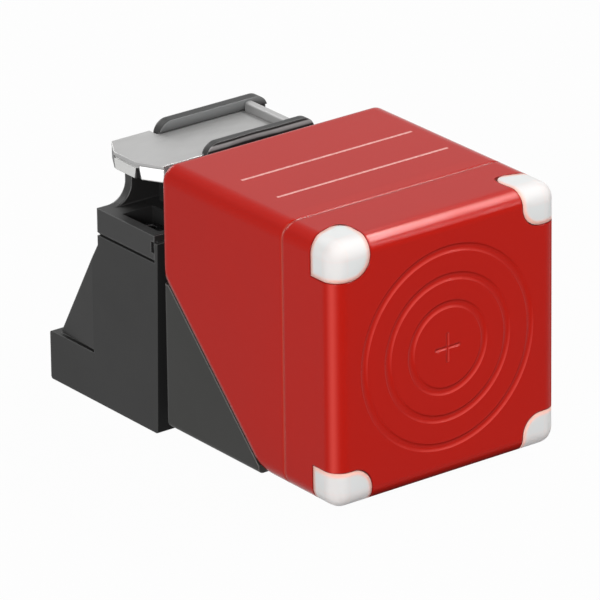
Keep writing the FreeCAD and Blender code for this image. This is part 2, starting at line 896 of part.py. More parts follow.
parts["latch_housing"] = latch_housing()
parts["housing_screws"] = housing_screws()
parts["lock_slide"] = lock_slide()
parts["latch_blade"] = latch_blade()

os.makedirs("parts", exist_ok=True)
to_foot = Vector(0, -overall_length / 2, foot_drop)
for name, shape in parts.items():
    shape.translated(to_foot).exportStep(f"parts/{name}.step")
    print(name, len(shape.Solids), shape.isValid(), round(shape.Volume, 1))
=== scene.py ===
import math

import bmesh
import bpy
from mathutils import Matrix, Quaternion, Vector


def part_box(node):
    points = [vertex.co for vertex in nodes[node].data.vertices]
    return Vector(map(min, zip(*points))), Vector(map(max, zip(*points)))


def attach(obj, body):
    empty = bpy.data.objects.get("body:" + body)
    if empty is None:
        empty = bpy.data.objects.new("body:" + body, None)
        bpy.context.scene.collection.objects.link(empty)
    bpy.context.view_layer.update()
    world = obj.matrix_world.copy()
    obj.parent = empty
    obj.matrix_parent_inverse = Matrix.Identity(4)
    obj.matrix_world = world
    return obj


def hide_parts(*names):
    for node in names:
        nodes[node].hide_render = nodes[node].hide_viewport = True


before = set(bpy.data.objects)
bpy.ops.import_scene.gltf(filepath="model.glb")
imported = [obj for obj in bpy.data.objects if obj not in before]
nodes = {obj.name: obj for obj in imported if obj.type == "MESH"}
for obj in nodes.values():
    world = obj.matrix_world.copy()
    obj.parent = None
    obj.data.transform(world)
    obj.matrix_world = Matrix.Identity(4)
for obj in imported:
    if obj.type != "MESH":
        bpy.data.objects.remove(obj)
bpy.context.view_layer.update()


# Bracket body
# One moulding in black glass-filled nylon with an eroded texture: a front wall with the socket,
# two gussets and a foot. Its edges are slightly rounded and painted paler as a highlight, and the
# front face, which the sensor covers, is matt and painted a deeper black as the shade in the gap.
mm = 0.001
nylon_dark = (0.0120, 0.0120, 0.0118, 1)
nylon_worn = (0.0175, 0.0175, 0.0172, 1)
nylon_edge_highlight = (0.060, 0.060, 0.059, 1)
painted_shade_black = (0.002, 0.002, 0.002, 1)
covered_depth = 10 * mm
covered_facing = -0.7
covered_matt = 0.95
noise_span = (0.3, 0.7)
rough_span = (-0.05, 0.06)
grain_strength = 0.35


def add_node(tree, kind, **settings):
    """A node of the given kind with its options set."""
    node = tree.nodes.new(kind)
    for option, value in settings.items():
        setattr(node, option, value)
    return node


def feed(tree, socket, source):
    """Gives a socket a link or a plain value."""
    if isinstance(source, bpy.types.NodeSocket):
        tree.links.new(source, socket)
    else:
        socket.default_value = source


def reckon(tree, operation, *sources, clamp=False):
    """The result of one Math node."""
    node = add_node(tree, "ShaderNodeMath", operation=operation, use_clamp=clamp)
    for socket, source in zip(node.inputs, sources):
        feed(tree, socket, source)
    return node.outputs["Value"]


def overlap(tree, first, *others):
    """Where all the given masks meet."""
    for other in others:
        first = reckon(tree, "MULTIPLY", first, other)
    return first


def strongest(tree, first, *others):
    """The strongest of the given masks at each spot."""
    for other in others:
        first = reckon(tree, "MAXIMUM", first, other)
    return first


def spread(tree, value, low, high, to_low=0.0, to_high=1.0):
    """A value carried from one range to another, without leaving the second."""
    node = add_node(tree, "ShaderNodeMapRange")
    for socket, source in zip(node.inputs, (value, low, high, to_low, to_high)):
        feed(tree, socket, source)
    return node.outputs["Result"]


def tint(tree, factor, first, second):
    """One colour going over into another."""
    node = add_node(tree, "ShaderNodeMix", data_type="RGBA")
    feed(tree, node.inputs[0], factor)
    feed(tree, node.inputs[6], first)
    feed(tree, node.inputs[7], second)
    return node.outputs[2]


def new_group(name, inputs, outputs):
    """An empty shader group, with number inputs and their defaults, and typed outputs."""
    group = bpy.data.node_groups.new(name, "ShaderNodeTree")
    for label, value in inputs.items():
        socket = group.interface.new_socket(label, in_out="INPUT", socket_type="NodeSocketFloat")
        socket.default_value = value
    for label, kind in outputs.items():
        group.interface.new_socket(label, in_out="OUTPUT", socket_type=kind)
    return group, group.nodes.new("NodeGroupInput"), group.nodes.new("NodeGroupOutput")


def place_group(tree, group, **values):
    """A group placed in a material with its own values."""
    node = add_node(tree, "ShaderNodeGroup", node_tree=group)
    for label, value in values.items():
        feed(tree, node.inputs[label], value)
    return node.outputs


moulded_grain, grain_in, grain_out = new_group(
    "moulded_grain",
    {"Fine": 2600.0, "Cloud": 70.0},
    {"Height": "NodeSocketFloat", "Cloud": "NodeSocketFloat"},
)
grain_place = add_node(moulded_grain, "ShaderNodeTexCoord")
for label, scale, detail in (("Height", "Fine", 3.0), ("Cloud", "Cloud", 5.0)):
    noise = add_node(moulded_grain, "ShaderNodeTexNoise")
    noise.inputs["Detail"].default_value = detail
    noise.inputs["Roughness"].default_value = 0.6
    moulded_grain.links.new(grain_place.outputs["Object"], noise.inputs["Vector"])
    moulded_grain.links.new(grain_in.outputs[scale], noise.inputs["Scale"])
    moulded_grain.links.new(noise.outputs["Fac"], grain_out.inputs[label])

soft_edges, edge_in, edge_out = new_group(
    "soft_edges",
    {"Radius": 0.3 * mm, "Gain": 3.0},
    {"Normal": "NodeSocketVector", "Edge": "NodeSocketFloat"},
)
rounding = add_node(soft_edges, "ShaderNodeBevel", samples=8)
soft_edges.links.new(edge_in.outputs["Radius"], rounding.inputs["Radius"])
flat = add_node(soft_edges, "ShaderNodeNewGeometry")
likeness = add_node(soft_edges, "ShaderNodeVectorMath", operation="DOT_PRODUCT")
soft_edges.links.new(rounding.outputs["Normal"], likeness.inputs[0])
soft_edges.links.new(flat.outputs["Normal"], likeness.inputs[1])
turned_away = reckon(soft_edges, "SUBTRACT", 1.0, likeness.outputs["Value"])
edge_mask = reckon(soft_edges, "MULTIPLY", turned_away, edge_in.outputs["Gain"], clamp=True)
soft_edges.links.new(rounding.outputs["Normal"], edge_out.inputs["Normal"])
soft_edges.links.new(edge_mask, edge_out.inputs["Edge"])


def new_finish(name):
    """A new material, with its tree and its shader."""
    material = bpy.data.materials.new(name)
    material.use_nodes = True
    tree = material.node_tree
    return material, tree, tree.nodes["Principled BSDF"]


def open_finish(material):
    """A finish's tree and shader, with what feeds its colour and its roughness so far."""
    tree = material.node_tree
    shader = tree.nodes["Principled BSDF"]
    colour = shader.inputs["Base Color"].links[0].from_socket
    roughness = shader.inputs["Roughness"].links[0].from_socket
    return tree, shader, colour, roughness


def place_and_facing(tree):
    """Where a spot lies on its piece and which way it looks, each split into X, Y and Z."""
    spot = add_node(tree, "ShaderNodeTexCoord")
    place = add_node(tree, "ShaderNodeSeparateXYZ")
    tree.links.new(spot.outputs["Object"], place.inputs[0])
    facing = add_node(tree, "ShaderNodeSeparateXYZ")
    tree.links.new(spot.outputs["Normal"], facing.inputs[0])
    return place.outputs, facing.outputs


def relief(tree, shader, height, strength, depth, normal=None):
    """Gives a surface a fine relief, over its softened edges where it has them."""
    bump = add_node(tree, "ShaderNodeBump")
    bump.inputs["Strength"].default_value = strength
    bump.inputs["Distance"].default_value = depth
    feed(tree, bump.inputs["Height"], height)
    if normal is not None:
        feed(tree, bump.inputs["Normal"], normal)
    feed(tree, shader.inputs["Normal"], bump.outputs["Normal"])


def dull_where(tree, shader, roughness, mask, matt):
    """Makes a surface matt under a mask."""
    matted = reckon(tree, "MULTIPLY", mask, matt)
    feed(tree, shader.inputs["Roughness"], reckon(tree, "MAXIMUM", roughness, matted))


def moulded_plastic(
    name, dark, worn, edge, rough, fine=2600.0, grain=0.02 * mm, radius=0.35 * mm, gloss=0.3
):
    """A moulded plastic: clouded colour, edges painted in their own colour, mostly paler as a highlight,
    and a fine eroded grain.
    """
    material, tree, shader = new_finish(name)
    grained = place_group(tree, moulded_grain, Fine=fine)
    edges = place_group(tree, soft_edges, Radius=radius)
    clouded = tint(tree, grained["Cloud"], dark, worn)
    feed(tree, shader.inputs["Base Color"], tint(tree, edges["Edge"], clouded, edge))
    uneven = spread(tree, grained["Cloud"], *noise_span, *(rough + step for step in rough_span))
    feed(tree, shader.inputs["Roughness"], uneven)
    shader.inputs["Specular IOR Level"].default_value = gloss
    relief(tree, shader, grained["Height"], grain_strength, grain, edges["Normal"])
    return material


def dress(material, *names):
    """Gives CAD nodes their finish."""
    for name in names:
        for slot in nodes[name].material_slots:
            slot.material = material


# The paler edge colour is a painted edge highlight.
black_nylon = moulded_plastic("black_nylon", nylon_dark, nylon_worn, nylon_edge_highlight, rough=0.5, gloss=0.25)
tree, shader, plain_nylon, plain_rough = open_finish(black_nylon)
place, facing = place_and_facing(tree)
shaded_front = overlap(
    tree,
    reckon(tree, "LESS_THAN", place["Y"], covered_depth),
    reckon(tree, "LESS_THAN", facing["Y"], covered_facing),
)
# Painted shade: the front face in the gap behind the sensor is painted a deeper black and made matt.
feed(tree, shader.inputs["Base Color"], tint(tree, shaded_front, plain_nylon, painted_shade_black))
dull_where(tree, shader, plain_rough, shaded_front, covered_matt)
dress(black_nylon, "bracket_foot")


# Latch housing
# A second black nylon moulding that closes the socket from above, held down by two screws. It has
# a shelf with a pocket for each screw, a tower wall, a roof and two rails, whose front faces carry
# a painted pale highlight. The pockets, the inner corners and the front of the shelf are matt and
# painted near black as shade. Its edges are painted paler as a highlight.
housing_edge_highlight = (0.11, 0.11, 0.11, 1)
rail_root = 39.3 * mm
rail_tip = 40.4 * mm
rails_between = 17 * mm
root_highlight = 0.25
front_turn = (-0.4, -0.9)
pale_low, pale_high, pale_fade = 39.75 * mm, 40.2 * mm, 0.2 * mm
front_rail_highlight = (0.36, 0.365, 0.365, 1)
rear_rail_highlight = (0.13, 0.133, 0.133, 1)
pocket_middle = (15.8 * mm, 12.97 * mm, 29.1 * mm)
pocket_half = (2.7 * mm, 4.45 * mm, 1.7 * mm)
shelf_below = 31.0 * mm
shelf_facing = 0.7
shelf_shade_rear, shelf_shade_front = 18.5 * mm, 13.5 * mm
shelf_shade_strength = 0.9
corner_reach = 5 * mm
corner_span = (0.35, 0.8)
shade_matt = 0.9
housing_nylon = moulded_plastic(
    "housing_nylon", nylon_dark, nylon_worn, housing_edge_highlight, rough=0.45, radius=0.4 * mm
)
tree, shader, plain_nylon, plain_rough = open_finish(housing_nylon)
place, facing = place_and_facing(tree)
at_rear = reckon(tree, "GREATER_THAN", place["Y"], rails_between)
in_pale_strip = overlap(
    tree,
    spread(tree, place["Z"], pale_low - pale_fade, pale_low),
    spread(tree, place["Z"], pale_high, pale_high + pale_fade, 1.0, 0.0),
)
# Painted highlight along the rails' front faces.
rail_highlight_mask = overlap(
    tree,
    spread(tree, place["Z"], rail_root, rail_tip, root_highlight),
    spread(tree, facing["Y"], *front_turn),
    reckon(tree, "GREATER_THAN", place["Z"], rail_root),
    strongest(tree, at_rear, in_pale_strip),
)
rail_highlight = tint(tree, at_rear, front_rail_highlight, rear_rail_highlight)
pocket_place = (reckon(tree, "ABSOLUTE", place["X"]), place["Y"], place["Z"])
in_pocket = overlap(tree, *(
    reckon(tree, "COMPARE", spot, middle, half)
    for spot, middle, half in zip(pocket_place, pocket_middle, pocket_half)
))
on_shelf = overlap(
    tree,
    spread(tree, place["Y"], shelf_shade_rear, shelf_shade_front, 0.0, shelf_shade_strength),
    reckon(tree, "GREATER_THAN", facing["Z"], shelf_facing),
    reckon(tree, "LESS_THAN", place["Z"], shelf_below),
)
corner = add_node(tree, "ShaderNodeAmbientOcclusion", only_local=True, samples=8)
corner.inputs["Distance"].default_value = corner_reach
in_corner = spread(tree, corner.outputs["AO"], *corner_span, 1.0, 0.0)
# Painted shade: the pockets, the inner corners and the front of the shelf go near black and matt.
painted_shade = strongest(tree, in_corner, in_pocket, on_shelf)
shaded_nylon = tint(tree, painted_shade, plain_nylon, painted_shade_black)
feed(tree, shader.inputs["Base Color"], tint(tree, rail_highlight_mask, shaded_nylon, rail_highlight))
dull_where(tree, shader, plain_rough, painted_shade, shade_matt)
dress(housing_nylon, "latch_housing")


# Housing screws
# Two blackened steel screws with a hexagon socket, turned down through the shelf's pockets.
# Each is a turned blank with a rounded head and a blunt point.
screw_low, screw_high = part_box("housing_screws")
screw_place = pocket_middle[0]
screw_seat = 27.5 * mm
screw_head = 2.2 * mm
screw_shank = 1.25 * mm
screw_rim = 1.5 * mm
head_edge = 0.15 * mm
crown_start, crown_half, crown_end = 0.5 * mm, 0.25 * mm, 0.05 * mm
point_radius = 0.8 * screw_shank
point_nose, point_length = 0.1 * mm, 0.8 * mm
hexagon = 6
hexagon_radius = 1.1 * mm
hexagon_depth = 0.8 * mm
screw_sides = 24
metal_edge = 0.2 * mm
scuff_strength = 0.15
scuff_depth = 0.01 * mm
weld_reach = 0.002 * mm
smooth_below = math.radians(40)
rounded_above = math.radians(35)
up = Vector((0, 0, 1))
sideways = Vector((1, 0, 0))


def plain_metal(name, dark, bright, edge, smooth, rough):
    """A plated or blackened metal: mottled brightness, paler edges and faint scuffs."""
    material, tree, shader = new_finish(name)
    scuffs = place_group(tree, moulded_grain, Fine=900.0, Cloud=220.0)
    edges = place_group(tree, soft_edges, Radius=metal_edge)
    mottled = tint(tree, scuffs["Cloud"], dark, bright)
    feed(tree, shader.inputs["Base Color"], tint(tree, edges["Edge"], mottled, edge))
    feed(tree, shader.inputs["Roughness"], spread(tree, scuffs["Height"], *noise_span, smooth, rough))
    shader.inputs["Metallic"].default_value = 1.0
    relief(tree, shader, scuffs["Height"], scuff_strength, scuff_depth, edges["Normal"])
    return material


def turn(bm, profile, centre, axis, steps, closed=False):
    """Turns a profile of (radius, distance along the axis) pairs round the axis."""
    spine = [bm.verts.new(centre + sideways * radius + axis * reach) for radius, reach in profile]
    pairs = list(zip(spine, spine[1:]))
    if closed:
        pairs.append((spine[-1], spine[0]))
    edges = [bm.edges.new(pair) for pair in pairs]
    bmesh.ops.spin(
        bm, geom=spine + edges, cent=centre, axis=axis, dvec=(0, 0, 0), angle=math.tau, steps=steps,
        use_merge=True,
    )
    bmesh.ops.remove_doubles(bm, verts=bm.verts[:], dist=weld_reach)


def edges_of(verts):
    """The edges at some vertices, each named once."""
    return list(dict.fromkeys(edge for vert in verts for edge in vert.link_edges))


def of_kind(kind, items):
    """The vertices, edges or faces among what an operator gave."""
    return [item for item in items if isinstance(item, kind)]


def add_shape(bm, shape):
    """Adds a finished shape to a mesh under way."""
    loose = bpy.data.meshes.new("shape")
    shape.to_mesh(loose)
    shape.free()
    bm.from_mesh(loose)
    bpy.data.meshes.remove(loose)


def make_piece(name, bm, body, material, stands_for, rounded=0.0):
    """Makes the finished mesh a piece that rides its body and stands for its CAD node."""
    bmesh.ops.recalc_face_normals(bm, faces=bm.faces[:])
    mesh = bpy.data.meshes.new(name)
    bm.to_mesh(mesh)
    bm.free()
    mesh.shade_smooth()
    mesh.set_sharp_from_angle(angle=smooth_below)
    mesh.materials.append(material)
    piece = bpy.data.objects.new(name, mesh)
    bpy.context.scene.collection.objects.link(piece)
    if rounded:
        bevel = piece.modifiers.new("rounded_edges", "BEVEL")
        bevel.width = rounded
        bevel.segments = 3
        bevel.limit_method = "ANGLE"
        bevel.angle_limit = rounded_above
    even = piece.modifiers.new("even_shading", "WEIGHTED_NORMAL")
    even.keep_sharp = True
    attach(piece, body)
    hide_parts(stands_for)
    return piece


bm = bmesh.new()
for side in (-1, 1):
    blank = bmesh.new()
    screw_foot = Vector((side * screw_place, (screw_low.y + screw_high.y) / 2, 0))
    turn(
        blank,
        (
            (0, screw_low.z),
            (point_radius, screw_low.z + point_nose),
            (screw_shank, screw_low.z + point_length),
            (screw_shank, screw_seat),
            (screw_head - head_edge, screw_seat),
            (screw_head, screw_seat + head_edge),
            (screw_head, screw_high.z - crown_start),
            (screw_head - head_edge, screw_high.z - crown_half),
            (screw_rim + crown_half, screw_high.z - crown_end),
            (screw_rim, screw_high.z),
        ),
        screw_foot, up, screw_sides,
    )
    rim = [edge for edge in blank.edges if edge.is_boundary]
    mouth = bmesh.ops.create_circle(
        blank, segments=hexagon, radius=hexagon_radius,
        matrix=Matrix.Translation(screw_foot + up * screw_high.z),
    )
    sides = edges_of(mouth["verts"])
    bmesh.ops.subdivide_edges(blank, edges=sides, cuts=screw_sides // hexagon - 1)
    sides = [edge for edge in blank.edges if edge.is_wire]
    bmesh.ops.bridge_loops(blank, edges=rim + sides)
    sunk = bmesh.ops.extrude_edge_only(blank, edges=sides)["geom"]
    bmesh.ops.translate(blank, verts=of_kind(bmesh.types.BMVert, sunk), vec=up * -hexagon_depth)
    bmesh.ops.edgeloop_fill(blank, edges=of_kind(bmesh.types.BMEdge, sunk))
    add_shape(bm, blank)
black_oxide = plain_metal(
    "black_oxide", dark=(0.05, 0.05, 0.052, 1), bright=(0.08, 0.08, 0.083, 1), edge=(0.14, 0.14, 0.14, 1),
    smooth=0.34, rough=0.5,
)
make_piece("fixing_screw_pair", bm, "bracket", black_oxide, "housing_screws")


# Locking slide
# A stamped steel strip that runs between the rails. Its flared end has a stepped rim and three
# bent-down tabs for the finger, with a slit between two of them, and its other end is turned
# up as a stop. The tabs use lit and shaded copies of the strip's steel: the front tab is painted
# pale as a highlight, the side tab lighter as a lit side, and the rear tab and the ends by the
# slit dark as painted shade.
slide_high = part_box("lock_slide")[1]
plate_top = 39.05 * mm
plate_under = 38.05 * mm
rim_height = 0.5 * mm
rim_step = 0.3 * mm
flare_tip, flare_shoulder = -17.45 * mm, -15.3 * mm
flare_front, flare_rear = 11.55 * mm, 24.3 * mm
tip_front, tip_rear = 15.45 * mm, 20.7 * mm
strip_start, strip_end = -8.5 * mm, 6.95 * mm
strip_rear = 22.5 * mm
tab_low = 36.35 * mm
tab_sheet = 0.85 * mm
tab_corner = 0.3 * mm
tab_roll = 0.45 * mm
tab_inset = 0.05 * mm
tab_slit = 0.6 * mm
side_gap = 0.45 * mm
front_gap = 0.1 * mm
slit_shade_reach = 0.3 * mm
bend_steps = 4
turned_in = 7.05 * mm
turned_front = 12.05 * mm
turned_rear = 22.0 * mm
turned_round = 0.4 * mm
bright_finish, painted_highlight_finish, painted_shade_finish, painted_lit_finish = range(4)
brush_stretch = (1.0, 14.0, 14.0)
streak_span = (0.35, 0.65)
brush_strength = 0.06
flare_outline = [
    Vector((x, y, plate_top))
    for x, y in (
        (flare_shoulder, flare_front),
        (flare_tip, tip_front),
        (flare_tip, tip_rear),
        (flare_shoulder, flare_rear),
        (strip_start, flare_rear),
        (strip_start, strip_rear),
        (strip_end, strip_rear),
        (strip_end, flare_front),
    )
]


def box_between(bm, low, high):
    """A block between two corners, as its new vertices."""
    low, high = Vector(low), Vector(high)
    size = Matrix.Diagonal((*(high - low), 1))
    return bmesh.ops.create_cube(bm, size=1, matrix=Matrix.Translation((low + high) / 2) @ size)["verts"]


def draw_down(bm, face, depth):
    """Draws a face down and gives the face at the bottom."""
    drawn = bmesh.ops.extrude_face_region(bm, geom=[face])["geom"]
    bottom = of_kind(bmesh.types.BMFace, drawn)[0]
    bmesh.ops.translate(bm, verts=bottom.verts[:], vec=up * -depth)
    return bottom


def runs_along_y(edge, least):
    """Whether an edge runs along y for more than the given length."""
    first, last = edge.verts
    return abs(first.co.y - last.co.y) > least


def round_edges(bm, edges, radius, segments, clamp_overlap=False):
    """Rounds edges and gives the vertices that this made."""
    rounded = bmesh.ops.bevel(
        bm, geom=edges, offset=radius, affect="EDGES", segments=segments, profile=0.5, material=-1,
        clamp_overlap=clamp_overlap,
    )
    return rounded["verts"]


def with_rounding(verts, made):
    """The vertices of a shape that outlived a rounding, and the new ones."""
    return list(dict.fromkeys([vert for vert in verts if vert.is_valid] + made))


bm = bmesh.new()
rim_face = bm.faces.new([bm.verts.new(point) for point in flare_outline])
rim_under = draw_down(bm, rim_face, rim_height)
bmesh.ops.inset_region(bm, faces=[rim_under], thickness=rim_step)
draw_down(bm, rim_under, plate_top - rim_height - plate_under)
# Each tab takes a painted finish, highlight, lit side or shade, with painted shade by the slit.
for start, end, slit, gap, finish in (
    (3, 2, 0.0, side_gap, painted_shade_finish),
    (2, 1, 0.0, side_gap, painted_lit_finish),
    (1, 0, tab_slit, front_gap, painted_highlight_finish),
):
    first, last = flare_outline[start], flare_outline[end]
    run = (last - first).normalized()
    inward = Vector((-run.y, run.x, 0))
    length = (last - first).length - slit
    tab_top = plate_top - rim_height - gap
    tab_start = first + run * slit + inward * tab_inset
    to_tab = Matrix((
        (run.x, inward.x, 0, tab_start.x),
        (run.y, inward.y, 0, tab_start.y),
        (0, 0, 1, 0),
        (0, 0, 0, 1),
    ))
    tab = box_between(bm, (0, 0, tab_low), (length, tab_sheet, tab_top))
    through = [
        edge for edge in edges_of(tab)
        if runs_along_y(edge, tab_sheet / 2) and edge.verts[0].co.z < tab_top - mm
    ]
    tab = with_rounding(tab, round_edges(bm, through, tab_corner, bend_steps))
    lower_rim = [
        edge for edge in edges_of(tab)
        if all(vert.co.y < tab_sheet / 10 and vert.co.z < tab_low + 1.5 * tab_corner for vert in edge.verts)
    ]
    tab = with_rounding(tab, round_edges(bm, lower_rim, tab_roll, bend_steps, clamp_overlap=True))
    for face in {face for vert in tab for face in vert.link_faces}:
        along_tab = face.calc_center_median().x
        from_slit = length - along_tab if finish == painted_lit_finish else along_tab
        face.material_index = painted_shade_finish if from_slit < slit_shade_reach else finish
    bmesh.ops.transform(bm, matrix=to_tab, verts=tab)
turned = box_between(bm, (turned_in, turned_front, plate_under), (slide_high.x, turned_rear, slide_high.z))
upper = [
    edge for edge in edges_of(turned)
    if runs_along_y(edge, mm) and min(vert.co.z for vert in edge.verts) > plate_top
]
round_edges(bm, upper, turned_round, bend_steps)


def rolled_steel(name, dull, bright, edge, streak):
    """Rolled sheet steel, brushed along the strip: faint streaks, clouded brightness and paler edges."""
    material, tree, shader = new_finish(name)
    rolled = add_node(tree, "ShaderNodeTexCoord")
    stretch = add_node(tree, "ShaderNodeMapping")
    stretch.inputs["Scale"].default_value = brush_stretch
    tree.links.new(rolled.outputs["Object"], stretch.inputs["Vector"])
    brushing = add_node(tree, "ShaderNodeTexNoise")
    brushing.inputs["Scale"].default_value = 260.0
    brushing.inputs["Detail"].default_value = 6.0
    tree.links.new(stretch.outputs["Vector"], brushing.inputs["Vector"])
    brushed = brushing.outputs["Fac"]
    scuffs = place_group(tree, moulded_grain, Fine=700.0, Cloud=120.0)
    edges = place_group(tree, soft_edges, Radius=metal_edge)
    clouded = tint(tree, scuffs["Cloud"], dull, bright)
    streaked = tint(tree, spread(tree, brushed, *streak_span, 0.0, streak), clouded, edge)
    feed(tree, shader.inputs["Base Color"], tint(tree, edges["Edge"], streaked, edge))
    feed(tree, shader.inputs["Roughness"], spread(tree, brushed, *noise_span, 0.42, 0.52))
    shader.inputs["Metallic"].default_value = 0.75
    relief(tree, shader, brushed, brush_strength, scuff_depth, edges["Normal"])
    return material


# The strip's own steel, then its painted highlight, painted shade and painted lit copies.
steels = [
    rolled_steel(*finish)
    for finish in (
        ("bright_steel", (0.34, 0.337, 0.332, 1), (0.39, 0.39, 0.39, 1), (0.56, 0.56, 0.55, 1), 0.12),
        ("painted_highlight_steel", (0.84, 0.84, 0.83, 1), (0.90, 0.90, 0.90, 1), (0.92, 0.92, 0.92, 1), 0.2),
        ("painted_shade_steel", (0.05, 0.05, 0.05, 1), (0.07, 0.07, 0.07, 1), (0.08, 0.08, 0.08, 1), 0.1),
        ("painted_lit_steel", (0.50, 0.50, 0.49, 1), (0.62, 0.62, 0.61, 1), (0.72, 0.72, 0.71, 1), 0.3),
    )
]
bright_steel = steels[bright_finish]
slide_strip = make_piece("slide_strip", bm, "lock", bright_steel, "lock_slide")
for steel in steels[painted_highlight_finish:]:
    slide_strip.data.materials.append(steel)


# Latch blade
# A flat steel blade riveted under the slide, which drops into the neck's groove. It is the same
# rolled sheet as the slide, with blanked edges.
dress(bright_steel, "latch_blade")


# Base wedge and neck
# The fixed half of the sensor, moulded in black polyester: a wedge with a hollow spindle on its
# slope and a round neck at the back. It has a finer, slightly warmer surface than the bracket.
# Its edges are painted paler as a highlight.
wedge_black = moulded_plastic(
    "wedge_black", dark=(0.0142, 0.0144, 0.0130, 1), worn=(0.0195, 0.0197, 0.0180, 1),
    edge=(0.13, 0.12, 0.115, 1), rough=0.48, fine=3400.0, grain=0.012 * mm, radius=0.45 * mm, gloss=0.25,
)
dress(wedge_black, "base_housing")


# Plug connector sleeve
# A nickel-plated brass sleeve pressed into the neck's end, with a rolled thread outside for the
# plug's nut and a key inside that sets which way round the plug goes in.
sleeve_low, sleeve_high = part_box("connector_shell")
neck_centre = Vector((0, 0, 22 * mm))
rearward = Vector((0, 1, 0))
sleeve_bore = 4.6 * mm
sleeve_sides = 48
sleeve_flange = 8.15 * mm
flange_end = 22.75 * mm
flange_edge, flange_chamfer = 0.2 * mm, 0.3 * mm
mouth_edge, mouth_step, mouth_chamfer = 0.4 * mm, 0.35 * mm, 0.3 * mm
thread_root = 5.4 * mm
thread_crest = 6.0 * mm
thread_foot = thread_root - 0.05 * mm
thread_sunk = thread_root - 0.1 * mm
thread_pitch = 1.0 * mm
thread_steps = 36
thread_turns = 8.7
thread_start = flange_end + 0.15 * mm
flank_share, crest_share = 0.08, 0.44
key_half = 0.5 * mm
key_height = 0.7 * mm
key_start = 24.8 * mm
key_set_back = 1.0 * mm

bm = bmesh.new()
turn(
    bm,
    (
        (sleeve_bore, sleeve_low.y),
        (sleeve_flange - flange_edge, sleeve_low.y),
        (sleeve_flange, sleeve_low.y + flange_edge),
        (sleeve_flange, flange_end - flange_chamfer),
        (sleeve_flange - flange_chamfer, flange_end),
        (thread_root, flange_end),
        (thread_root, sleeve_high.y - mouth_edge),
        (thread_root - mouth_step, sleeve_high.y),
        (sleeve_bore + mouth_chamfer, sleeve_high.y),
        (sleeve_bore, sleeve_high.y - mouth_chamfer),
    ),
    neck_centre, rearward, sleeve_sides, closed=True,
)
thread = bmesh.new()
ridge = [
    thread.verts.new(neck_centre + sideways * radius + rearward * (thread_start + share * thread_pitch))
    for radius, share in (
        (thread_foot, 0),
        (thread_foot, flank_share),
        (thread_crest, crest_share),
        (thread_crest, 1 - crest_share),
        (thread_foot, 1 - flank_share),
        (thread_foot, 1),
    )
]
ridge_edges = [thread.edges.new(pair) for pair in zip(ridge, ridge[1:])]
bmesh.ops.spin(
    thread, geom=ridge + ridge_edges, cent=neck_centre, axis=rearward,
    dvec=rearward * thread_pitch / thread_steps, angle=math.tau * thread_turns,
    steps=round(thread_steps * thread_turns),
)
bmesh.ops.remove_doubles(thread, verts=thread.verts[:], dist=weld_reach)
for vert in thread.verts:
    arm = Vector((vert.co.x, 0, vert.co.z - neck_centre.z))
    lead_in = min(sleeve_high.y - vert.co.y, vert.co.y - thread_start)
    reach = max(thread_sunk, min(arm.length, thread_sunk + lead_in))
    vert.co = neck_centre + arm.normalized() * reach + rearward * vert.co.y
add_shape(bm, thread)
box_between(
    bm, (-key_half, key_start, neck_centre.z + sleeve_bore - key_height),
    (key_half, sleeve_high.y - key_set_back, neck_centre.z + thread_sunk),
)
nickel_plate = plain_metal(
    "nickel_plate", dark=(0.50, 0.48, 0.44, 1), bright=(0.66, 0.64, 0.60, 1), edge=(0.80, 0.78, 0.74, 1),
    smooth=0.16, rough=0.30,
)
make_piece("threaded_sleeve", bm, "base", nickel_plate, "connector_shell")


# Contact insert and pins
# A black polyamide insert in the sleeve holds four gold-plated brass pins with rounded tips, whose
# tails are soldered in a round terminal board inside the neck.
insert_black = moulded_plastic(
    "insert_black", dark=(0.012, 0.012, 0.012, 1), worn=(0.020, 0.020, 0.020, 1),
    edge=(0.05, 0.05, 0.05, 1), rough=0.42, radius=0.2 * mm,
)
dress(insert_black, "contact_carrier")

pin_low, pin_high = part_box("contact_pins")
pin_count = 4
pin_sides = 16
pin_radius = 0.5 * mm
pin_circle = 2.75 * mm
tail_radius = 0.7 * pin_radius
tail_chamfer = 0.2 * mm
tip_shares = ((1, 0.45 * mm), (0.86, 0.16 * mm), (0.5, 0.03 * mm), (0, 0))
pin_tail = ((0, pin_low.y), (tail_radius, pin_low.y), (pin_radius, pin_low.y + tail_chamfer))
pin_tip = tuple((share * pin_radius, pin_high.y - set_back) for share, set_back in tip_shares)
bm = bmesh.new()
for index in range(pin_count):
    angle = math.tau * (index + 0.5) / pin_count
    pin_centre = neck_centre + Vector((math.cos(angle), 0, math.sin(angle))) * pin_circle
    turn(bm, pin_tail + pin_tip, pin_centre, rearward, pin_sides)
gold_plate = plain_metal(
    "gold_plate", dark=(0.72, 0.50, 0.18, 1), bright=(0.86, 0.63, 0.27, 1), edge=(0.95, 0.76, 0.42, 1),
    smooth=0.14, rough=0.26,
)
make_piece("plug_pins", bm, "base", gold_plate, "contact_pins")


